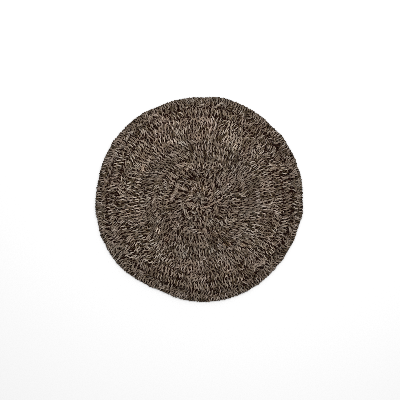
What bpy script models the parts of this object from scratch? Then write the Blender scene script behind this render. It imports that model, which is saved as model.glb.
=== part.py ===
# Round crocheted seagrass rug, lying flat on a floor.
# It is one mat: a raised ring for each crocheted round, a shallow groove between
# rounds, and a rolled rim with the bumps and flats of handmade work.
# Metres, +Z up. The origin is on the floor, under the middle of the rug.

import math

import bpy

# Driving dimensions
RUG_RADIUS = 0.500
CREST_HEIGHT = 0.0160
RIM_HEIGHT = 0.0150
RIM_ROUNDING = 0.0070
STEPS_AROUND = 96
MERGE_DISTANCE = 0.0001

# The rounds swing in and out by MEANDER in a few waves a turn, and the crests
# rise and fall by HEIGHT_VARIATION. Both sets of waves drift round by so many
# radians from the middle to the rim.
MEANDER = 0.0025
MEANDER_WAVES = 3.0
MEANDER_DRIFT = 11.0
HEIGHT_VARIATION = 0.0005
HEIGHT_WAVES = 5.0
HEIGHT_DRIFT = 17.0
CALM_MIDDLE = 0.33

# The rolled rim: directions of the points on its outer arc, from the horizontal,
# and how far in from the edge its crest and its foot lie, in arc radii
RIM_ARC_DEG = (62.0, 20.0, -20.0, -62.0)
RIM_CREST_INSET = 1.9
RIM_FOOT_INSET = 1.6

# A row for each crocheted round, from the middle out: the radius of the groove
# that ends the round, and how far that groove lies below the crests
ROUND_COLUMNS = ("groove_radius", "groove_depth")
ROUNDS = (
    (0.038, 0.0015),
    (0.075, 0.0035),
    (0.111, 0.0030),
    (0.145, 0.0020),
    (0.174, 0.0015),
    (0.204, 0.0025),
    (0.237, 0.0020),
    (0.269, 0.0028),
    (0.294, 0.0018),
    (0.325, 0.0020),
    (0.366, 0.0030),
    (0.407, 0.0032),
    (0.449, 0.0032),
    (0.474, 0.0025),
)

# Where each ring of points lies across a round, as a share of its width, and
# its height there, as a share of the groove's depth
CREST_SHAPE = ((0.30, 0.85), (0.68, 1.00))

# A row for each bump or flat of the outline: its direction from the middle,
# counted from +X towards +Y, how far it spreads, and how far it stands out
OUTLINE_COLUMNS = ("direction_deg", "spread_deg", "rise")
OUTLINE = (
    (22.0, 14.0, 0.0020),
    (46.0, 3.5, -0.0055),
    (75.0, 3.5, 0.0035),
    (90.0, 6.0, -0.0065),
    (109.0, 9.0, -0.0105),
    (153.0, 5.0, 0.0020),
    (203.0, 15.0, 0.0105),
    (246.0, 11.0, -0.0170),
    (298.0, 7.0, 0.0015),
    (318.0, 9.0, -0.0025),
    (344.0, 4.0, -0.0025),
    (356.0, 4.0, 0.0025),
)

SEAGRASS_COLOUR = (0.100, 0.072, 0.053, 1.0)
SEAGRASS_ROUGHNESS = 0.85


def rows(columns, table):
    """The rows of a table, each with its values under their column names."""
    return [dict(zip(columns, values)) for values in table]


def clear_scene():
    for obj in list(bpy.data.objects):
        bpy.data.objects.remove(obj, do_unlink=True)


def seagrass_material():
    material = bpy.data.materials.new("seagrass")
    material.use_nodes = True
    shader = material.node_tree.nodes["Principled BSDF"]
    shader.inputs["Base Color"].default_value = SEAGRASS_COLOUR
    shader.inputs["Roughness"].default_value = SEAGRASS_ROUGHNESS
    shader.inputs["Metallic"].default_value = 0.0
    return material


def round_profile():
    """Radius and height along the rug's upper side, from the middle to the last groove."""
    points = [(0.0, CREST_HEIGHT - 0.5 * ROUNDS[0][1])]
    inner_radius = 0.0
    inner_depth = 0.0
    for crochet_round in rows(ROUND_COLUMNS, ROUNDS):
        outer_radius = crochet_round["groove_radius"]
        outer_depth = crochet_round["groove_depth"]
        for share, rise in CREST_SHAPE:
            depth = inner_depth if share < 0.5 else outer_depth
            radius = inner_radius + share * (outer_radius - inner_radius)
            points.append((radius, CREST_HEIGHT - depth * (1.0 - rise)))
        points.append((outer_radius, CREST_HEIGHT - outer_depth))
        inner_radius = outer_radius
        inner_depth = outer_depth
    return points


def rim_profile():
    """The rolled rim, from its crest down its outer side to the underside."""
    arc_centre = RUG_RADIUS - RIM_ROUNDING
    points = [(RUG_RADIUS - RIM_CREST_INSET * RIM_ROUNDING, RIM_HEIGHT)]
    for angle in RIM_ARC_DEG:
        turn = math.radians(angle)
        height = 0.5 * RIM_HEIGHT * (1.0 + math.sin(turn))
        points.append((arc_centre + RIM_ROUNDING * math.cos(turn), height))
    points.append((RUG_RADIUS - RIM_FOOT_INSET * RIM_ROUNDING, 0.0))
    points.append((0.0, 0.0))
    return points


def turned_mesh(points):
    """The mesh of a profile turned once round Z."""
    profile = bpy.data.meshes.new("rug_profile")
    edges = [(index, index + 1) for index in range(len(points) - 1)]
    profile.from_pydata([(radius, 0.0, height) for radius, height in points], edges, [])
    turned = bpy.data.objects.new("rug_profile", profile)
    bpy.context.scene.collection.objects.link(turned)
    screw = turned.modifiers.new("turn", "SCREW")
    screw.steps = STEPS_AROUND
    screw.render_steps = STEPS_AROUND
    screw.use_merge_vertices = True
    screw.merge_threshold = MERGE_DISTANCE
    evaluated = turned.evaluated_get(bpy.context.evaluated_depsgraph_get())
    mesh = bpy.data.meshes.new_from_object(evaluated)
    bpy.data.objects.remove(turned, do_unlink=True)
    return mesh


def outline_rise(direction):
    """How far the rug's edge stands out of its circle in one direction."""
    total = 0.0
    for bump in rows(OUTLINE_COLUMNS, OUTLINE):
        away = math.degrees(direction) - bump["direction_deg"]
        away = (away + 180.0) % 360.0 - 180.0
        total += bump["rise"] * math.exp(-0.5 * (away / bump["spread_deg"]) ** 2)
    return total


def make_uneven(mesh):
    """Pulls the turned mat into the uneven rounds and outline of handmade work."""
    for vertex in mesh.vertices:
        radius = math.hypot(vertex.co.x, vertex.co.y)
        if radius < MERGE_DISTANCE:
            continue
        direction = math.atan2(vertex.co.y, vertex.co.x)
        reach = radius / RUG_RADIUS
        swing = math.sin(MEANDER_WAVES * direction + MEANDER_DRIFT * reach)
        meander = MEANDER * swing * 4.0 * reach * (1.0 - reach)
        new_radius = radius + meander + outline_rise(direction) * reach ** 4
        vertex.co.x = new_radius * math.cos(direction)
        vertex.co.y = new_radius * math.sin(direction)
        if vertex.co.z > 0.5 * RIM_HEIGHT:
            swell = math.sin(HEIGHT_WAVES * direction + HEIGHT_DRIFT * reach)
            vertex.co.z += HEIGHT_VARIATION * min(1.0, reach / CALM_MIDDLE) * swell


def centre_on_origin(mesh):
    """Moves the mat so that the origin lies under the middle of its box."""
    for axis in (0, 1):
        places = [vertex.co[axis] for vertex in mesh.vertices]
        middle = 0.5 * (min(places) + max(places))
        for vertex in mesh.vertices:
            vertex.co[axis] -= middle


def make_rug(collection):
    mesh = turned_mesh(round_profile() + rim_profile())
    mesh.name = "rug"
    make_uneven(mesh)
    centre_on_origin(mesh)
    mesh.shade_smooth()
    mesh.materials.append(seagrass_material())
    rug = bpy.data.objects.new("rug", mesh)
    collection.objects.link(rug)
    return rug


def main():
    clear_scene()
    collection = bpy.data.collections.new("seagrass_rug")
    bpy.context.scene.collection.children.link(collection)
    make_rug(collection)


main()
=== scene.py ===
# Round seagrass rug: rounds of crochet in a twisted two-ply cord, laid over its solid.
import math

import bpy
import numpy as np
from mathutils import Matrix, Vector


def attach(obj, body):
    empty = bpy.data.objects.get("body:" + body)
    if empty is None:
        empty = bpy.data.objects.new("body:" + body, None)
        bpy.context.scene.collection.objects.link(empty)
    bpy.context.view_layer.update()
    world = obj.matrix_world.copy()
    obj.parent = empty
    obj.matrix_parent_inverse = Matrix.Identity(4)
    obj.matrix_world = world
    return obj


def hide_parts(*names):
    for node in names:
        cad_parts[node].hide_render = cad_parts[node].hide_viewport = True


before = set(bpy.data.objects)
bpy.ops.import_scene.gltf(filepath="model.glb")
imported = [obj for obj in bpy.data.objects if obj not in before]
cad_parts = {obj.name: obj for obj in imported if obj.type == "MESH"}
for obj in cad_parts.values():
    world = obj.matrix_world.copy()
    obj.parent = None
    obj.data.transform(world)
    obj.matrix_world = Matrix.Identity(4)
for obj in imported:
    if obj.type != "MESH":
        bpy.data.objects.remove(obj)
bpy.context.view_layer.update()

# The rug's plan, as in its solid: metres
rugPlan = {
    "radius": 0.500,
    "meander": 0.0025,  # how far the rounds swing in and out, half way to the rim
    "meanderWaves": 3.0,
    "meanderDrift": 11.0,  # radians by which the waves turn from the middle to the rim
    "bumpFade": 4,  # power by which the outline's bumps die away towards the middle
    "stepsAround": 96,  # points of the rim that give the box, and of each ring of the inner loops
}
# Bumps and flats of the outline: direction and spread in degrees, rise in metres
outlineBumps = [
    (22.0, 14.0, 0.0020),
    (46.0, 3.5, -0.0055),
    (75.0, 3.5, 0.0035),
    (90.0, 6.0, -0.0065),
    (109.0, 9.0, -0.0105),
    (153.0, 5.0, 0.0020),
    (203.0, 15.0, 0.0105),
    (246.0, 11.0, -0.0170),
    (298.0, 7.0, 0.0015),
    (318.0, 9.0, -0.0025),
    (344.0, 4.0, -0.0025),
    (356.0, 4.0, 0.0025),
]
# Each crocheted round, from the middle out. edge is the radius of the groove that ends it, tone
# its lightness, lean the degrees by which its stitches lean, and startRise and endRise lift its
# inner and outer ends. uneven scales how far its stitches stray, against is the share of them
# with a turn of cord laid the other way, and pale the share of very pale stitches.
rounds = [
    {"edge": 0.038, "tone": -1.05, "lean": 30.0, "startRise": -0.0012, "endRise": 0.0018,
     "uneven": 0.70, "against": 0.05, "pale": 0.00},
    {"edge": 0.075, "tone": 1.20, "lean": 15.0, "startRise": -0.0002, "endRise": 0.0026,
     "uneven": 1.15, "against": 0.12, "pale": 0.00},
    {"edge": 0.111, "tone": 0.05, "lean": 36.0, "startRise": 0.0008, "endRise": 0.0020,
     "uneven": 1.50, "against": 0.15, "pale": 0.00},
    {"edge": 0.145, "tone": -0.30, "lean": 23.0, "startRise": 0.0000, "endRise": 0.0020,
     "uneven": 0.75, "against": 0.17, "pale": 0.00},
    {"edge": 0.174, "tone": 0.25, "lean": 0.0, "startRise": 0.0012, "endRise": 0.0026,
     "uneven": 0.80, "against": 0.18, "pale": 0.00},
    {"edge": 0.204, "tone": -0.28, "lean": 21.0, "startRise": 0.0028, "endRise": 0.0012,
     "uneven": 0.80, "against": 0.18, "pale": 0.00},
    {"edge": 0.237, "tone": -0.35, "lean": 38.0, "startRise": 0.0014, "endRise": 0.0018,
     "uneven": 0.45, "against": 0.00, "pale": 0.00},
    {"edge": 0.269, "tone": -0.57, "lean": 30.0, "startRise": 0.0014, "endRise": 0.0014,
     "uneven": 0.40, "against": 0.00, "pale": 0.02},
    {"edge": 0.294, "tone": -0.77, "lean": 26.5, "startRise": 0.0014, "endRise": 0.0026,
     "uneven": 0.62, "against": 0.00, "pale": 0.00},
    {"edge": 0.325, "tone": 0.68, "lean": 14.0, "startRise": 0.0028, "endRise": 0.0018,
     "uneven": 0.60, "against": 0.13, "pale": 0.05},
    {"edge": 0.366, "tone": 0.52, "lean": 10.0, "startRise": 0.0028, "endRise": 0.0014,
     "uneven": 0.52, "against": 0.11, "pale": 0.02},
    {"edge": 0.407, "tone": 0.80, "lean": 2.0, "startRise": 0.0024, "endRise": 0.0006,
     "uneven": 0.80, "against": 0.18, "pale": 0.00},
    {"edge": 0.449, "tone": 0.22, "lean": 19.0, "startRise": 0.0013, "endRise": 0.0008,
     "uneven": 0.55, "against": 0.12, "pale": 0.00},
    {"edge": 0.477, "tone": -0.90, "lean": -9.0, "startRise": 0.0010, "endRise": 0.0034,
     "uneven": 1.30, "against": 0.29, "pale": 0.00},
]


def outlineRise(angle):
    total = np.zeros_like(angle)
    for direction, spread, rise in outlineBumps:
        away = (np.degrees(angle) - direction + 180.0) % 360.0 - 180.0
        total += rise * np.exp(-0.5 * (away / spread) ** 2)
    return total


def planPoint(radius, angle):
    reach = radius / rugPlan["radius"]
    swing = np.sin(rugPlan["meanderWaves"] * angle + rugPlan["meanderDrift"] * reach)
    swing = rugPlan["meander"] * swing * 4.0 * reach * np.maximum(1.0 - reach, 0.0)
    moved = radius + swing + outlineRise(angle) * reach ** rugPlan["bumpFade"]
    return np.stack([moved * np.cos(angle), moved * np.sin(angle)], -1)


def planMiddle():
    angle = np.linspace(0.0, 2.0 * np.pi, rugPlan["stepsAround"], endpoint=False)
    rim = planPoint(np.full_like(angle, rugPlan["radius"]), angle)
    return 0.5 * (rim.min(0) + rim.max(0))


middle = planMiddle()


def place(radius, angle, height):
    # Points of the plan at a height, with the middle of the rug's box over the origin
    flat = planPoint(radius, angle) - middle
    return np.concatenate([flat, np.asarray(height)[..., None]], -1)


# Cord: sizes in metres, tones in steps that the finish turns into colour
cord = {
    "diameter": 0.0113,
    "lay": 0.0393,  # length of one full twist
    "plySides": 5,
    "deepSides": 4,  # for the cords that lie deeper
    "plyShare": 0.300,  # ply radius over cord diameter
    "plyOffset": 0.25,  # how far a ply lies from the cord's middle, over the diameter
    "thickSpread": 0.07,  # spread of the cords' thickness
    "plySpread": 0.08,  # and of a ply's, from point to point
    "toneSpread": 1.20,  # spread of the cords' tones
    "plyTone": 1.75,  # how much one ply is paler and the other darker
    "grainTone": 0.3,  # spread of a ply's tone, from point to point
    "streakShift": 0.4,  # metres of streak between the plies, for each radian between them
    "clearance": 0.0003,  # height that no point lies under: the lowest cords are pressed flat there
}


def splinePoints(controls, perSpan):
    # Catmull-Rom curve through (strands, controls, 3)
    first = 2.0 * controls[:, :1] - controls[:, 1:2]
    last = 2.0 * controls[:, -1:] - controls[:, -2:-1]
    padded = np.concatenate([first, controls, last], 1)
    steps = np.arange(perSpan) / perSpan
    out = []
    for span in range(controls.shape[1] - 1):
        a, b, c, d = (padded[:, span + k][:, None, :] for k in range(4))
        t = steps[None, :, None]
        out.append(
            0.5
            * (
                2.0 * b
                + (c - a) * t
                + (2.0 * a - 5.0 * b + 4.0 * c - d) * t ** 2
                + (3.0 * b - a - 3.0 * c + d) * t ** 3
            )
        )
    out.append(controls[:, -1:])
    return np.concatenate(out, 1)


def unit(vectors):
    return vectors / np.maximum(np.linalg.norm(vectors, axis=-1, keepdims=True), 1e-9)


def sideFrames(line):
    # A steady pair of side directions along each line, carried from point to point
    tangent = unit(np.gradient(line, axis=1))
    guide = np.broadcast_to((0.01, 0.01, 1.01), tangent[:, 0].shape)  # nearly upright
    side = np.empty_like(line)
    side[:, 0] = unit(np.cross(guide, tangent[:, 0]))
    for k in range(1, line.shape[1]):
        old = side[:, k - 1]
        t = tangent[:, k]
        side[:, k] = unit(old - (old * t).sum(-1, keepdims=True) * t)
    return side, np.cross(tangent, side)


def ringRound(corner, side, other):
    # Unit circles of points about a line, at the given corner angles
    return np.cos(corner)[..., None] * side[:, :, None] + np.sin(corner)[..., None] * other[:, :, None]


def twistedCord(line, rng, sides=cord["plySides"], thick=1.0, shade=0.0):
    # Two plies round each line: rings of points (plies, rings, sides, 3), their tones, the way
    # along the cord and the slow light or dark of the stitch
    count, rings = line.shape[:2]
    side, other = sideFrames(line)
    run = np.linalg.norm(np.diff(line, axis=1), axis=-1)
    run = np.concatenate([np.zeros((count, 1)), np.cumsum(run, 1)], 1)
    turn = 2.0 * np.pi * run / cord["lay"] + rng.uniform(0.0, 2.0 * np.pi, (count, 1))
    size = cord["diameter"] * thick * (1.0 + cord["thickSpread"] * rng.standard_normal((count, 1)))
    base = cord["toneSpread"] * rng.standard_normal((count, 1))
    contrast = np.abs(rng.standard_normal((count, 1)))
    plies, tones, runs = [], [], []
    for ply in (0.0, np.pi):
        phase = turn + ply
        wobble = 1.0 + cord["plySpread"] * rng.standard_normal((count, rings))
        plyRadius = size * cord["plyShare"] * wobble
        away = np.cos(phase)[..., None] * side + np.sin(phase)[..., None] * other
        centre = line + away * (size * cord["plyOffset"])[..., None]
        corner = phase[..., None] + 2.0 * np.pi * np.arange(sides) / sides
        plies.append(centre[:, :, None] + ringRound(corner, side, other) * plyRadius[..., None, None])
        own = cord["plyTone"] * (contrast if ply else -contrast)
        tones.append(base + own + cord["grainTone"] * rng.standard_normal((count, rings)))
        runs.append(run + cord["streakShift"] * ply)
    shades = np.broadcast_to(shade, (count, rings))
    return [np.concatenate(parts) for parts in (plies, tones, runs, (shades, shades))]


# Each ply's place on the maps of its faces: streaks in metres, the rest in shares of its own cell
# of the bake map, or of one step along that cell
mapPlan = {
    "streakStep": 0.37,  # between one ply and the next
    "margin": 0.08,
    "capMiddle": 0.25,
    "capLength": 0.15,
    "capHeight": 0.30,
}


def streakPlaces(run, shape):
    # Metres along the ply and turns round it, for each corner of each face
    count, sides = shape[0], shape[2]
    around = np.arange(sides + 1) / sides
    low, high = (np.broadcast_to(end[:, :, None], shape[:3]) for end in (run[:, :-1], run[:, 1:]))
    places = np.empty(shape + (2,))
    places[..., 0] = np.stack([low, low, high, high], -1)
    places[..., 0] += mapPlan["streakStep"] * np.arange(count)[:, None, None, None]
    places[..., 1] = np.stack([around[:-1], around[1:], around[1:], around[:-1]], -1)
    return places


def bakePlaces(shape, band, share):
    # The plies of a family in rows of cells, in a band of the map: the faces, then both caps
    count, length, sides = shape[0], shape[1] + 1, shape[2]
    columns = max(1, int(round(math.sqrt(count * (sides + 1) / (length * share)))))
    rows = math.ceil(count / columns)
    column, row = np.arange(count) % columns, np.arange(count) // columns
    along = (np.arange(length) + 0.5) / length
    low, high = along[:-1], along[1:]
    along = np.stack([low, low, high, high], -1)[None, :, None]
    margin = mapPlan["margin"]
    around = margin + (1.0 - 2.0 * margin) * np.arange(sides + 1) / sides
    across = np.stack([around[:-1], around[1:], around[1:], around[:-1]], -1)[None, None]
    faces = np.empty(shape + (2,))
    faces[..., 0] = (column[:, None, None, None] + along) / columns
    faces[..., 1] = band + share * (row[:, None, None, None] + across) / rows
    places = [faces.reshape(-1, 2)]
    turn = 2.0 * np.pi * np.arange(sides) / sides
    for step, corner in ((mapPlan["capMiddle"], turn[::-1]), (length - mapPlan["capMiddle"], turn)):
        along = (step + mapPlan["capLength"] * np.cos(corner)) / length
        across = 0.5 + mapPlan["capHeight"] * np.sin(corner)
        cap = np.empty((count, sides, 2))
        cap[..., 0] = (column[:, None] + along) / columns
        cap[..., 1] = band + share * (row[:, None] + across) / rows
        places.append(cap.reshape(-1, 2))
    return places


def bandShares(families):
    # Share of the bake map that each family has, by the size of its faces and caps
    areas = []
    for plies, tone, run, shade in families:
        count, length, sides = plies.shape[:3]
        areas.append(count * (length - 1) * (sides + 1))
    return np.array(areas) / sum(areas)


def stripMesh(name, families):
    # One mesh of capped tubes from families of (points, tones, runs, shades)
    families = [family for family in families if len(family[0])]
    points, tones, shades, loops, starts, streaks, cells = ([] for k in range(7))
    offset, corner, band = 0, 0, 0.0
    for (plies, tone, run, shade), share in zip(families, bandShares(families)):
        count, length, sides = plies.shape[:3]
        index = offset + np.arange(count * length * sides).reshape(count, length, sides)
        after = np.roll(index, -1, 2)
        quads = np.stack([index[:, :-1], after[:, :-1], after[:, 1:], index[:, 1:]], -1)
        loops.append(quads.ravel())
        starts.append(corner + 4 * np.arange(quads.size // 4))
        corner += quads.size
        for cap in (index[:, 0, ::-1], index[:, -1]):
            loops.append(cap.ravel())
            starts.append(corner + sides * np.arange(count))
            corner += cap.size
        way = streakPlaces(run, quads.shape)
        streaks.append(way.reshape(-1, 2))
        streaks.append(np.repeat(way[:, 0, 0, 0], sides, 0))
        streaks.append(np.repeat(way[:, -1, 0, 0], sides, 0))
        cells += bakePlaces(quads.shape, band, share)
        points.append(np.maximum(plies, (-np.inf, -np.inf, cord["clearance"])).reshape(-1, 3))
        tones.append(np.repeat(tone.ravel(), sides))
        shades.append(np.repeat(shade.ravel(), sides))
        offset += index.size
        band += share
    values = {"tone": tones, "shade": shades}
    return buildMesh(name, points, loops, starts, values, {"cordWay": streaks, "OFBake": cells})


def buildMesh(name, points, loops, starts, values, maps):
    points, loops, starts = (np.concatenate(x) for x in (points, loops, starts))
    mesh = bpy.data.meshes.new(name)
    mesh.vertices.add(len(points))
    mesh.vertices.foreach_set("co", points.astype(np.float32).ravel())
    mesh.loops.add(len(loops))
    mesh.loops.foreach_set("vertex_index", loops.astype(np.int32))
    mesh.polygons.add(len(starts))
    mesh.polygons.foreach_set("loop_start", starts.astype(np.int32))
    mesh.update(calc_edges=True)
    for label, parts in values.items():
        layer = mesh.attributes.new(label, "FLOAT", "POINT")
        layer.data.foreach_set("value", np.concatenate(parts).astype(np.float32))
    for label, places in maps.items():
        layer = mesh.uv_layers.new(name=label)
        layer.uv.foreach_set("vector", np.concatenate(places).astype(np.float32).ravel())
    mesh.shade_smooth()
    return mesh


# Stitches: widths, heights and jitters in metres, leans in degrees
stitch = {
    "middleHole": 0.004,
    "fewest": 6,  # stitches in a round
    "width": 0.0290,
    "baseHalf": 0.0078,  # half the gap between a stitch's two legs, where it is worked in
    "topHalf": 0.0079,
    "leanSlow": 16.8,  # spread of the lean that changes slowly along a round
    "leanJitter": 15.4,  # and of the lean from stitch to stitch
    "patch": 0.070,  # length over which the slow lean changes
    "drift": (0.0035, 0.00075),  # how far a groove wanders from its circle, at the middle and the rim
    "driftPatch": 0.070,
    "toneSlow": 0.26,  # spread of the light and dark that changes slowly along a round
    "tonePatch": 0.070,
    "paintedLightSide": 0.60,  # painted light: how much paler the rug is painted towards the side that the light comes from
    "paintedLightDirection": 110.0,  # and the direction of that side, in degrees
    "paleTone": 3.0,  # of the very pale stitches
    "wraps": 0.22,  # share of the stitches with a turn laid over them, where uneven is 1
    "wrapTone": 0.2,
    "backThick": 0.9,  # thickness of the cord on the back over that of the front
    "placeJitter": 0.0022,  # of a stitch along the round
    "halfJitter": 0.305,  # share of the half gap
    "reachJitter": 0.0030,  # of its outer end, across the round
    "liftJitter": 0.0011,
    "liftAbove": 0.008,  # height over which that jitter acts
    "wander": (0.0012, 0.0012, 0.0007),  # along the round, across it, up
    "grooveRise": -0.0015,  # lifts both ends of every stitch
    "startZone": (0.375, 0.125),  # ways across the round where startRise is none and full
    "endZone": (0.6, 1.0),  # the same for endRise
    "grooveZone": (0.3, 0.1),  # and for grooveRise, from either end
    "nearest": 0.0035,  # no point of a path comes nearer the rug's middle
    "tightest": 0.012,  # nearer than this, steps sideways turn as they do here
    "seed": 100,
    "driftSeed": 300,
}
# Paths give, for each point: side of the stitch's middle line, way across the round, height
# Front loop: up one leg, over the top and down the other leg
loopPath = [
    (-0.55, -0.14, 0.0042),
    (-1.00, -0.04, 0.0060),
    (-1.00, 0.12, 0.0090),
    (-1.00, 0.36, 0.0114),
    (-1.00, 0.62, 0.0116),
    (-0.96, 0.84, 0.0096),
    (-0.62, 0.98, 0.0068),
    (0.00, 1.02, 0.0060),
    (0.62, 0.98, 0.0068),
    (0.96, 0.84, 0.0096),
    (1.00, 0.62, 0.0116),
    (1.00, 0.36, 0.0114),
    (1.00, 0.12, 0.0090),
    (1.00, -0.04, 0.0060),
    (0.55, -0.14, 0.0042),
]
# Turn of cord laid slanting over the two legs
wrapPath = [
    (-1.95, 0.20, 0.0060),
    (-1.30, 0.36, 0.0104),
    (-0.40, 0.50, 0.0130),
    (0.55, 0.64, 0.0130),
    (1.30, 0.78, 0.0104),
    (1.70, 0.88, 0.0066),
]
# Top strand that joins a stitch to the next
topPath = [
    (-2.10, 1.06, 0.0050),
    (-1.10, 0.96, 0.0060),
    (0.00, 0.90, 0.0064),
    (1.10, 0.96, 0.0060),
    (2.10, 1.06, 0.0050),
]
# Inner leg, half hidden between two stitches
innerPath = [
    (2.60, -0.05, 0.0048),
    (2.20, 0.20, 0.0072),
    (1.95, 0.48, 0.0078),
    (1.90, 0.75, 0.0074),
    (1.70, 1.00, 0.0056),
]
# Strand that fills the stitch between its two legs
fillPath = [
    (0.30, 0.00, 0.0048),
    (-0.15, 0.30, 0.0070),
    (0.15, 0.62, 0.0074),
    (-0.20, 0.95, 0.0056),
]
# Back of the work: a zigzag against the floor
backPath = [
    (-2.00, 0.97, 0.0052),
    (-1.45, 0.78, 0.0047),
    (-0.70, 0.38, 0.0047),
    (-0.10, 0.04, 0.0048),
    (0.40, 0.06, 0.0048),
    (1.00, 0.42, 0.0047),
    (1.55, 0.78, 0.0047),
    (2.05, 0.97, 0.0052),
]


def patchwise(angle, radius, rng, length, fewest=4):
    # Smooth random values round the rug, that change over about the given length
    knots = max(fewest, round(2.0 * math.pi * radius / length))
    values = rng.standard_normal(knots)
    at = (angle / (2.0 * math.pi) * knots) % knots
    low = np.floor(at).astype(int) % knots
    share = at - np.floor(at)
    share = share * share * (3.0 - 2.0 * share)
    return values[low] * (1.0 - share) + values[(low + 1) % knots] * share


def grooveDrift(number, angle):
    # How far the groove that ends a round wanders from its circle, which the last one never does
    if number in (0, len(rounds)):
        return np.zeros((len(angle), 1))
    rng = np.random.default_rng(stitch["driftSeed"] + number)
    radius = rounds[number - 1]["edge"]
    size = np.interp(radius, (0.0, rugPlan["radius"]), stitch["drift"])
    return size * patchwise(angle, radius, rng, stitch["driftPatch"])[:, None]


def mirrored(path):
    return [(-side, across, height) for side, across, height in path]


def zone(across, none, full):
    # From 0 to 1 between two places on the way across a round
    return np.clip((across - none) / (full - none), 0.0, 1.0)


def makeRound(number, inner, row):
    rng = np.random.default_rng(stitch["seed"] + number)
    outer = row["edge"]
    uneven = row["uneven"]
    count = max(stitch["fewest"], round(math.pi * (inner + outer) / stitch["width"]))
    angle = np.arange(count) * (2.0 * math.pi / count) + rng.uniform(0.0, 2.0 * np.pi)
    halfway = 0.5 * (inner + outer)
    swing = stitch["leanSlow"] * patchwise(angle, halfway, rng, stitch["patch"])
    swing = swing + stitch["leanJitter"] * rng.standard_normal(count)
    lean = np.tan(np.radians(row["lean"] + uneven * swing))[:, None]
    shift = uneven * stitch["placeJitter"] * rng.standard_normal((count, 1))
    widen = 1.0 + uneven * stitch["halfJitter"] * rng.standard_normal((count, 1))
    reach = uneven * stitch["reachJitter"] * rng.standard_normal((count, 1))
    lift = uneven * stitch["liftJitter"] * rng.standard_normal((count, 1))
    slow = patchwise(angle, halfway, rng, stitch["tonePatch"])[:, None]
    shade = row["tone"] + stitch["toneSlow"] * slow
    shade = shade + stitch["paleTone"] * (rng.random((count, 1)) < row["pale"])
    # Painted light: the stitches are painted paler towards the side that the light comes from
    towards = np.cos(angle - math.radians(stitch["paintedLightDirection"]))[:, None]
    shade = shade + stitch["paintedLightSide"] * towards * halfway / rugPlan["radius"]
    start = inner + grooveDrift(number - 1, angle)
    depth = outer + grooveDrift(number, angle) - start

    def laid(path, chosen, between):
        side, across, height = (np.array(column)[None, :] for column in zip(*path))
        slope, offset = lean, shift
        if between:  # a strand in the gap to the next stitch follows both
            slope, offset = (0.5 * (x + np.roll(x, -1, 0)) for x in (lean, shift))
        half = stitch["baseHalf"] + (stitch["topHalf"] - stitch["baseHalf"]) * across
        along = side * half * widen + slope * depth * (across - 0.5) + offset
        radius = start + depth * across + reach * np.clip(across, 0.0, 1.0)
        tall = height + lift * (height > stitch["liftAbove"])
        tall = tall + row["startRise"] * zone(across, *stitch["startZone"])
        tall = tall + row["endRise"] * zone(across, *stitch["endZone"])
        nearEnd = np.minimum(across, 1.0 - across)
        tall = tall + stitch["grooveRise"] * zone(nearEnd, *stitch["grooveZone"])
        jitter = uneven * rng.standard_normal((3,) + along.shape)
        along = along + stitch["wander"][0] * jitter[0]
        radius = np.maximum(radius + stitch["wander"][1] * jitter[1], stitch["nearest"])
        tall = tall + stitch["wander"][2] * jitter[2]
        turned = angle[:, None] + along / np.maximum(radius, stitch["tightest"])
        return place(radius, turned, tall)[chosen]

    def strands(path, chosen=slice(None), between=False, perSpan=2, lighter=0.0, **look):
        line = splinePoints(laid(path, chosen, between), perSpan)
        return twistedCord(line, rng, shade=shade[chosen] + lighter, **look)

    crossing = rng.random(count)
    wrappedAgainst = crossing < row["against"]
    wrapped = crossing > 1.0 - uneven * stitch["wraps"]
    deep = cord["deepSides"]
    families = [
        strands(loopPath),
        strands(wrapPath, chosen=wrapped, lighter=stitch["wrapTone"]),
        strands(mirrored(wrapPath), chosen=wrappedAgainst, lighter=stitch["wrapTone"]),
        strands(topPath, sides=deep),
        strands(innerPath, between=True, sides=deep),
        strands(fillPath, sides=deep),
        strands(backPath, perSpan=1, sides=deep, thick=stitch["backThick"]),
    ]
    return stripMesh(f"round_{number:02d}", families)


# Edge: slanting turns of cord over the rim, and two cords that lie along it, painted darker towards
# the floor as shade
edge = {
    "pitch": 0.0125,
    "wander": (0.0014, 0.0008, 0.0005),  # along the rim, across it, up
    "leanSlow": 0.9,  # pitches that a turn leans along the rim over its width
    "patch": 0.120,  # length over which that lean changes
    "bulge": 0.0020,  # how far the rim swells out and in
    "bulgePatch": 0.040,
    "tone": -0.5,  # at the inner end of a turn
    "outerPaintedShade": -3.6,  # painted shade at its outer end, where it turns down to the floor, and of the two cords along the rim
    "seed": 7,
}
# For each point: way along the rim in pitches, way across the edge, height
turnPath = [
    (-0.60, -0.50, 0.0056),
    (-0.60, -0.15, 0.0092),
    (-0.30, 0.20, 0.0112),
    (0.00, 0.50, 0.0112),
    (0.30, 0.76, 0.0092),
    (0.50, 0.85, 0.0062),
    (0.55, 0.75, 0.0046),
]
rimPath = [
    (-1.20, 0.70, 0.0050),
    (-0.40, 0.81, 0.0046),
    (0.40, 0.81, 0.0046),
    (1.20, 0.70, 0.0050),
]
bedPath = [
    (-1.20, 0.34, 0.0064),
    (-0.40, 0.46, 0.0060),
    (0.40, 0.46, 0.0060),
    (1.20, 0.34, 0.0064),
]


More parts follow.
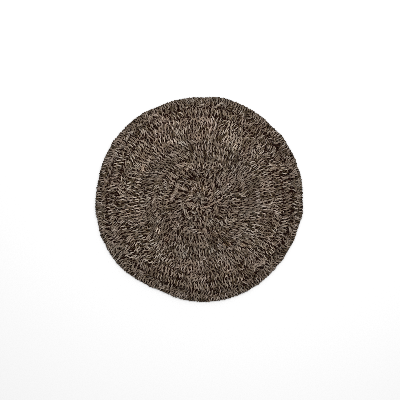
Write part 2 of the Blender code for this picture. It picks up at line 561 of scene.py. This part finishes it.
def makeEdge(inner, outer):
    rng = np.random.default_rng(edge["seed"])
    count = round(2.0 * math.pi * outer / edge["pitch"])
    spacing = 2.0 * math.pi / count
    start = np.arange(count) * spacing
    slant = edge["leanSlow"] * patchwise(start, outer, rng, edge["patch"])[:, None]
    bulge = edge["bulge"] * patchwise(start, outer, rng, edge["bulgePatch"])[:, None]

    def laid(path):
        along, across, height = (np.array(column)[None, :] for column in zip(*path))
        jitter = rng.standard_normal((3, count, along.shape[1]))
        radius = inner + (outer - inner + bulge) * across + edge["wander"][1] * jitter[1]
        turned = start[:, None] + (along + slant * (across - 0.5)) * spacing
        turned = turned + edge["wander"][0] * jitter[0] / outer
        return place(radius, turned, height + edge["wander"][2] * jitter[2])

    turns = splinePoints(laid(turnPath), 2)
    # Painted shade: each turn darkens towards its outer end, and the two cords along the rim are as
    # dark
    outward = np.linspace(0.0, 1.0, turns.shape[1])[None, :] ** 2
    shade = edge["tone"] + (edge["outerPaintedShade"] - edge["tone"]) * outward
    deep = {"sides": cord["deepSides"], "shade": edge["outerPaintedShade"]}
    families = [
        twistedCord(turns, rng, shade=shade),
        twistedCord(splinePoints(laid(rimPath), 1), rng, **deep),
        twistedCord(splinePoints(laid(bedPath), 1), rng, **deep),
    ]
    return stripMesh("edge_turns", families)


# Hidden inner loops of the work, as one thin closed sheet, coloured dark as painted shade between the
# cords
core = {
    "inset": 0.0040,
    "top": 0.0050,
    "bottom": 0.0026,
    "rimTop": 0.0036,
    "ringWidth": 0.016,
    "legPitch": 0.0145,
    "pitchAt": 0.6,  # share of the radius where the legs lie a pitch apart
    "tone": -0.6,
}


def makeCore():
    steps = rugPlan["stepsAround"]
    reach = rugPlan["radius"] - core["inset"]
    rings = round(reach / core["ringWidth"])
    around = np.linspace(0.0, 2.0 * np.pi, steps, endpoint=False)
    angle, radius = np.meshgrid(around, np.arange(1, rings + 1) / rings * reach)
    height = np.full(radius.shape, core["top"])
    height[-1] = core["rimTop"]
    upper = place(radius, angle, height)
    lower = place(radius, angle, np.full(radius.shape, core["bottom"]))
    centre = [[-middle[0], -middle[1], core["top"]], [-middle[0], -middle[1], core["bottom"]]]
    points = np.concatenate([upper.reshape(-1, 3), lower.reshape(-1, 3), centre])
    grid = np.arange(rings * steps).reshape(rings, steps)
    under = grid + rings * steps
    faces = []
    for a, b in zip(grid[:-1], grid[1:]):
        faces += np.stack([a, b, np.roll(b, -1), np.roll(a, -1)], -1).tolist()
    for a, b in zip(under[:-1], under[1:]):
        faces += np.stack([b, a, np.roll(a, -1), np.roll(b, -1)], -1).tolist()
    rim = [grid[-1], under[-1], np.roll(under[-1], -1), np.roll(grid[-1], -1)]
    faces += np.stack(rim, -1).tolist()
    top, low = len(points) - 2, len(points) - 1
    faces += [[top, i, j] for i, j in zip(grid[0], np.roll(grid[0], -1))]
    faces += [[low, j, i] for i, j in zip(under[0], np.roll(under[0], -1))]
    mesh = bpy.data.meshes.new("inner_loops")
    mesh.from_pydata(points, [], faces)
    for label, value in (("tone", core["tone"]), ("shade", 0.0)):
        layer = mesh.attributes.new(label, "FLOAT", "POINT")
        layer.data.foreach_set("value", np.full(len(points), value, np.float32))
    # On the map where the cords have metres along a ply and turns: metres along a leg, and legs
    way = mesh.uv_layers.new(name="cordWay")
    corners = np.empty(len(mesh.loops), np.int32)
    mesh.loops.foreach_get("vertex_index", corners)
    x, y = points[corners, :2].T
    legs = np.arctan2(y, x) * rugPlan["radius"] * core["pitchAt"] / core["legPitch"]
    way.uv.foreach_set("vector", np.stack([np.hypot(x, y), legs], -1).astype(np.float32).ravel())
    mesh.shade_smooth()
    return mesh


# Loose ends of fibre that stand out of the cords here and there: sizes in metres
loose = {
    "count": 420,
    "spread": 0.470,  # radius of the part of the rug that has them
    "height": 0.0125,
    "length": (0.010, 0.030),
    "thickness": 0.0007,
    "taper": 0.7,
    "standing": 0.004,
    "standingShare": (0.3, 1.0),
    "arch": 2.4,  # radians of a sine that each rises along
    "curl": 0.5,  # radians by which they turn off their course
    "tone": 1.5,
    "steps": 5,
    "sides": 3,
    "rimShare": 0.2,  # share of them that sticks out over the rim
    "rimRadius": 0.486,
    "rimHeight": 0.0090,
    "rimLength": 0.7,  # share of the length there
    "rimSwing": 0.8,  # radians by which they point off the outward direction
    "seed": 11,
}


def makeLoose():
    rng = np.random.default_rng(loose["seed"])
    count, steps = loose["count"], loose["steps"]
    turn = rng.uniform(0.0, 2.0 * np.pi, count)
    radius = loose["spread"] * np.sqrt(rng.random(count))
    atRim = rng.random(count) < loose["rimShare"]
    radius[atRim] = loose["rimRadius"]
    length = rng.uniform(*loose["length"], count)
    length[atRim] *= loose["rimLength"]
    outward = rng.normal(0.0, loose["rimSwing"], count)
    anyWay = rng.uniform(0.0, 2.0 * np.pi, count)
    heading = turn + np.where(atRim, outward, anyWay)
    curl = rng.normal(0.0, loose["curl"], count)
    start = place(radius, turn, np.where(atRim, loose["rimHeight"], loose["height"]))
    way = np.linspace(0.0, 1.0, steps)[None, :]
    run = length[:, None] * way
    course = heading[:, None] + curl[:, None] * way
    standing = loose["standing"] * rng.uniform(*loose["standingShare"], count)[:, None]
    step = [run * np.cos(course), run * np.sin(course), standing * np.sin(loose["arch"] * way)]
    line = start[:, None] + np.stack(step, -1)
    corner = 2.0 * np.pi * np.arange(loose["sides"]) / loose["sides"]
    thick = loose["thickness"] * (1.0 - loose["taper"] * way)[..., None, None]
    points = line[:, :, None] + ringRound(corner[None, None], *sideFrames(line)) * thick
    tone = np.broadcast_to(loose["tone"] + rng.standard_normal((count, 1)), (count, steps))
    return stripMesh("loose_fibres", [(points, tone, run, np.zeros_like(tone))])


# Seagrass finish; deep is painted shade, the colour of the hollows between the cords
finish = {
    # deep: the painted shade of the hollows between the cords
    "deep": (0.0140, 0.0020, 0.0003, 1.0),
    "dark": (0.0610, 0.0395, 0.0200, 1.0),
    "middle": (0.232, 0.176, 0.133, 1.0),
    "pale": (0.435, 0.366, 0.306, 1.0),
    "stops": (0.2, 0.58, 1.0),  # where dark, middle and pale stand on the ramp
    "middleTone": 0.550,  # place on the ramp of a cord with tone 0
    "toneShare": 0.108,
    "streakShare": 0.7,
    "paintedShadeFull": -0.00275,  # painted shade: rise over the surface round about where all is of the deep colour
    "crest": 0.00118,  # and where none of the painted shade is
    "shadeShare": 0.18,
    "shadeLeast": 0.2,
    "bump": 0.35,
    "bumpDepth": 0.0006,
    "roughness": 0.75,
    "specular": 0.1,
    "fibre": {
        "Streak Length": 60.0,
        "Streak Fineness": 9.0,
        "Patch Scale": 10.0,
        "Patch Strength": 0.267,
        "Tint Scale": 16.0,
        "Warmth": 0.14,
        "Greenness": 0.12,
    },
}
# The inner loops, seen deep between the cords: the same seagrass, coarser, and painted much darker as
# the shade that falls there
innerPaintedShadeFinish = dict(
    finish,
    dark=(0.010, 0.0040, 0.0010, 1.0),
    middle=(0.030, 0.014, 0.006, 1.0),
    pale=(0.080, 0.048, 0.028, 1.0),
    paintedShadeFull=-0.0120,
    bump=0.8,
    fibre={
        "Streak Length": 40.0,
        "Streak Fineness": 2.0,
        "Patch Scale": 70.0,
        "Patch Strength": 0.3,
        "Tint Scale": 16.0,
        "Warmth": 0.14,
        "Greenness": 0.12,
    },
)


def addMath(tree, operation, *values):
    # The result of a math node that takes numbers and other nodes' results
    node = tree.nodes.new("ShaderNodeMath")
    node.operation = operation
    for socket, value in zip(node.inputs, values):
        if isinstance(value, float):
            socket.default_value = value
        else:
            tree.links.new(value, socket)
    return node.outputs[0]


def addNoise(tree, vector, detail, scale):
    node = tree.nodes.new("ShaderNodeTexNoise")
    node.inputs["Detail"].default_value = detail
    if isinstance(scale, float):
        node.inputs["Scale"].default_value = scale
    else:
        tree.links.new(scale, node.inputs["Scale"])
    tree.links.new(vector, node.inputs["Vector"])
    return node.outputs


def fibreGroup():
    # Streaks along each ply, patches over the rug and a slow tint of red against blue, and green
    group = bpy.data.node_groups.new("seagrassFibre", "ShaderNodeTree")
    face = group.interface
    for socket in finish["fibre"]:
        face.new_socket(socket, in_out="INPUT", socket_type="NodeSocketFloat")
    face.new_socket("Streaks", in_out="OUTPUT", socket_type="NodeSocketFloat")
    face.new_socket("Patches", in_out="OUTPUT", socket_type="NodeSocketFloat")
    face.new_socket("Tint", in_out="OUTPUT", socket_type="NodeSocketColor")
    nodes, links = group.nodes, group.links
    entry = nodes.new("NodeGroupInput").outputs
    leave = nodes.new("NodeGroupOutput").inputs

    way = nodes.new("ShaderNodeUVMap")
    way.uv_map = "cordWay"
    split = nodes.new("ShaderNodeSeparateXYZ")
    links.new(way.outputs["UV"], split.inputs[0])
    stretched = nodes.new("ShaderNodeCombineXYZ")
    for axis, stretch in (("X", "Streak Length"), ("Y", "Streak Fineness")):
        longer = addMath(group, "MULTIPLY", split.outputs[axis], entry[stretch])
        links.new(longer, stretched.inputs[axis])
    streaks = addNoise(group, stretched.outputs[0], detail=3.0, scale=1.0)
    links.new(streaks["Fac"], leave["Streaks"])

    spot = nodes.new("ShaderNodeNewGeometry").outputs["Position"]
    patches = addNoise(group, spot, detail=2.0, scale=entry["Patch Scale"])
    patches = addMath(group, "SUBTRACT", patches["Fac"], 0.5)
    links.new(addMath(group, "MULTIPLY", patches, entry["Patch Strength"]), leave["Patches"])

    centred = nodes.new("ShaderNodeVectorMath")
    centred.operation = "SUBTRACT"
    centred.inputs[1].default_value = (0.5, 0.5, 0.5)
    colours = addNoise(group, spot, detail=2.0, scale=entry["Tint Scale"])
    links.new(colours["Color"], centred.inputs[0])
    apart = nodes.new("ShaderNodeSeparateXYZ")
    links.new(centred.outputs[0], apart.inputs[0])
    red = addMath(group, "MULTIPLY_ADD", apart.outputs["X"], entry["Warmth"], 1.0)
    green = addMath(group, "MULTIPLY_ADD", apart.outputs["Y"], entry["Greenness"], 1.0)
    tint = nodes.new("ShaderNodeCombineXYZ")
    links.new(red, tint.inputs["X"])
    links.new(green, tint.inputs["Y"])
    links.new(addMath(group, "SUBTRACT", 2.0, red), tint.inputs["Z"])
    links.new(tint.outputs[0], leave["Tint"])
    return group


def seagrassMaterial(name, group, look):
    material = bpy.data.materials.new(name)
    material.use_nodes = True
    tree = material.node_tree
    nodes, links = tree.nodes, tree.links
    shader = nodes["Principled BSDF"]
    fibre = nodes.new("ShaderNodeGroup")
    fibre.node_tree = group
    for socket, value in look["fibre"].items():
        fibre.inputs[socket].default_value = value

    def attribute(label):
        node = nodes.new("ShaderNodeAttribute")
        node.attribute_name = label
        return node.outputs["Fac"]

    def colourMix(blend):
        # Input 0 is the share of the second colour, 6 and 7 are the two colours
        node = nodes.new("ShaderNodeMix")
        node.data_type = "RGBA"
        node.blend_type = blend
        return node.inputs, node.outputs[2]

    # The ply's tone, its streaks and the patches choose a colour on the ramp
    streaks = addMath(tree, "SUBTRACT", fibre.outputs["Streaks"], 0.5)
    streaks = addMath(tree, "MULTIPLY", streaks, look["streakShare"])
    patches = addMath(tree, "ADD", fibre.outputs["Patches"], look["middleTone"])
    mixed = addMath(tree, "MULTIPLY", attribute("tone"), look["toneShare"])
    mixed = addMath(tree, "ADD", addMath(tree, "ADD", mixed, streaks), patches)
    ramp = nodes.new("ShaderNodeValToRGB")
    stops = ramp.color_ramp.elements
    stops[0].position, stops[0].color = look["stops"][0], look["dark"]
    stops[1].position, stops[1].color = look["stops"][2], look["pale"]
    stops.new(look["stops"][1]).color = look["middle"]
    links.new(mixed, ramp.inputs[0])

    # Painted shade: the colour darkens into the deep colour in the hollows between the cords, where
    # shade falls
    depth = nodes.new("ShaderNodeMapRange")
    depth.interpolation_type = "SMOOTHSTEP"
    depth.inputs["From Min"].default_value = look["paintedShadeFull"]
    depth.inputs["From Max"].default_value = look["crest"]
    links.new(attribute("rise"), depth.inputs["Value"])
    shaded, shadedColour = colourMix("MIX")
    shaded[6].default_value = look["deep"]
    links.new(depth.outputs[0], shaded[0])
    links.new(ramp.outputs["Color"], shaded[7])

    # And the stitch's lightness and the tint scale it: its own tone, with painted light towards one
    # side and painted shade at the rim's outer ends
    bright = addMath(tree, "MULTIPLY", attribute("shade"), look["shadeShare"])
    bright = addMath(tree, "MAXIMUM", addMath(tree, "ADD", bright, 1.0), look["shadeLeast"])
    scaled = nodes.new("ShaderNodeVectorMath")
    scaled.operation = "SCALE"
    links.new(fibre.outputs["Tint"], scaled.inputs[0])
    links.new(bright, scaled.inputs["Scale"])
    tinted, tintedColour = colourMix("MULTIPLY")
    tinted[0].default_value = 1.0
    links.new(shadedColour, tinted[6])
    links.new(scaled.outputs[0], tinted[7])
    links.new(tintedColour, shader.inputs["Base Color"])

    shader.inputs["Roughness"].default_value = look["roughness"]
    shader.inputs["Specular IOR Level"].default_value = look["specular"]
    bump = nodes.new("ShaderNodeBump")
    bump.inputs["Strength"].default_value = look["bump"]
    bump.inputs["Distance"].default_value = look["bumpDepth"]
    links.new(fibre.outputs["Streaks"], bump.inputs["Height"])
    links.new(bump.outputs[0], shader.inputs["Normal"])
    return material


# How far each point of the cords stands over the surface round it, which sets the painted shade in the
# hollows between the cords
relief = {
    "cell": 0.0025,
    "margin": 1.1,  # half width of the grid over the rug's radius
    "reach": 2,  # cells to each side, averaged twice
    "least": 0.0110,  # least height that a cell of the rug counts as
    "leastOutside": 0.0050,  # and a cell past the rim
    "face": 0.0045,  # how far the rim's outer face reaches in, which is open to the side and gets less painted shade
    "faceRise": 0.0002,  # and how far its points at least count as standing out
}


def averaged(grid, reach):
    # Mean over the square of cells round each cell, by running sums along both axes
    for axis in (0, 1):
        widths = [(reach + 1, reach) if k == axis else (0, 0) for k in (0, 1)]
        padded = np.pad(grid, widths, mode="edge")
        total = np.cumsum(padded, axis)
        size = grid.shape[axis]
        high = np.take(total, np.arange(2 * reach + 1, 2 * reach + 1 + size), axis)
        low = np.take(total, np.arange(size), axis)
        grid = (high - low) / (2 * reach + 1)
    return grid


def insideRim(x, y):
    # How far a place lies inside the rim
    return rugPlan["radius"] + outlineRise(np.arctan2(y, x)) - np.hypot(x, y)


def markRelief(objects):
    half = rugPlan["radius"] * relief["margin"]
    size = math.ceil(2.0 * half / relief["cell"])
    spots = (np.arange(size) + 0.5) * relief["cell"] - half
    x, y = np.meshgrid(spots + middle[0], spots + middle[1], indexing="ij")
    surface = np.where(insideRim(x, y) < 0.0, relief["leastOutside"], relief["least"])
    known = []
    for piece in objects:
        points = np.empty(len(piece.data.vertices) * 3, np.float32)
        piece.data.vertices.foreach_get("co", points)
        points = points.reshape(-1, 3)
        cells = tuple(np.clip(((points[:, :2] + half) / relief["cell"]).astype(int), 0, size - 1).T)
        np.maximum.at(surface, cells, points[:, 2])
        known.append((piece, points, cells))
    smooth = averaged(averaged(surface, relief["reach"]), relief["reach"])
    for piece, points, cells in known:
        # The painted shade of each point follows its rise over the surface round it
        rise = points[:, 2] - smooth[cells]
        inside = insideRim(points[:, 0] + middle[0], points[:, 1] + middle[1])
        rise = np.where(inside < relief["face"], np.maximum(rise, relief["faceRise"]), rise)
        piece.data.attributes.new("rise", "FLOAT", "POINT").data.foreach_set("value", rise)
    print("relief marked on", len(known), "pieces")


def addPiece(mesh, material):
    piece = bpy.data.objects.new(mesh.name, mesh)
    bpy.context.scene.collection.objects.link(piece)
    mesh.materials.append(material)
    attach(piece, "root")
    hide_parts("rug")
    return piece


# Camera: metres, and millimetres for its lens and sensor
view = {
    "metresPerPixel": 0.004845,  # on the rug's top
    "pixels": 400,
    "lens": 85.0,
    "sensor": 36.0,
    "aimX": 0.0024,
    "aimY": -0.0024,
    "rugTop": 0.012,
    "pixelBlur": 0.50,
}
# Floor and light: metres, and watts for the key lamp
light = {
    "dome": 0.778,
    "keyPower": 50.0,
    "keySize": 1.8,
    "keyPlace": (0.3, 0.95, 2.85),
    "floorColour": (0.87, 0.87, 0.87, 1.0),
    "floorRoughness": 0.9,
    "floorSize": 30.0,
    "floorDrop": 0.0003,  # under the rug's solid, so that the two never share a face
}


def makeCamera():
    # Straight above the rug, at the height from which a pixel has its size on the rug's top
    scene = bpy.context.scene
    lens = bpy.data.cameras.new("camera")
    lens.lens = view["lens"]
    lens.sensor_width = view["sensor"]
    camera = bpy.data.objects.new("camera", lens)
    height = view["metresPerPixel"] * view["pixels"] * view["lens"] / view["sensor"]
    camera.location = (view["aimX"], view["aimY"], view["rugTop"] + height)
    scene.collection.objects.link(camera)
    scene.camera = camera
    scene.view_settings.view_transform = "Standard"
    scene.cycles.use_denoising = False
    scene.cycles.filter_width = view["pixelBlur"]


def makeFloor():
    half = 0.5 * light["floorSize"]
    mesh = bpy.data.meshes.new("floor")
    corners = [(-half, -half, 0.0), (half, -half, 0.0), (half, half, 0.0), (-half, half, 0.0)]
    mesh.from_pydata(corners, [], [(0, 1, 2, 3)])
    floor = bpy.data.objects.new("floor", mesh)
    floor.location.z = -light["floorDrop"]
    bpy.context.scene.collection.objects.link(floor)
    material = bpy.data.materials.new("paleFloor")
    material.use_nodes = True
    shader = material.node_tree.nodes["Principled BSDF"]
    shader.inputs["Base Color"].default_value = light["floorColour"]
    shader.inputs["Roughness"].default_value = light["floorRoughness"]
    mesh.materials.append(material)


def makeLight():
    scene = bpy.context.scene
    world = bpy.data.worlds.new("dome")
    world.use_nodes = True
    background = world.node_tree.nodes["Background"]
    background.inputs["Color"].default_value = (1.0, 1.0, 1.0, 1.0)
    background.inputs["Strength"].default_value = light["dome"]
    scene.world = world
    lamp = bpy.data.lights.new("key", "AREA")
    lamp.energy = light["keyPower"]
    lamp.size = light["keySize"]
    key = bpy.data.objects.new("key", lamp)
    key.location = light["keyPlace"]
    key.rotation_euler = (-Vector(light["keyPlace"])).to_track_quat("-Z", "Y").to_euler()
    scene.collection.objects.link(key)


makeCamera()
makeFloor()
makeLight()
print("camera, floor and light ready")
fibres = fibreGroup()
cordMaterial = seagrassMaterial("twistedSeagrass", fibres, finish)
innerPaintedShadeMaterial = seagrassMaterial("innerSeagrassPaintedShade", fibres, innerPaintedShadeFinish)
pieces = []
inner = stitch["middleHole"]
for number, row in enumerate(rounds, 1):
    pieces.append(addPiece(makeRound(number, inner, row), cordMaterial))
    inner = row["edge"]
print("rounds ready:", sum(len(piece.data.polygons) for piece in pieces), "faces")
pieces.append(addPiece(makeEdge(inner, rugPlan["radius"]), cordMaterial))
pieces.append(addPiece(makeLoose(), cordMaterial))
coreSheet = addPiece(makeCore(), innerPaintedShadeMaterial)
print("edge, loose fibres and inner loops ready")
markRelief(pieces + [coreSheet])
print("all pieces ready")
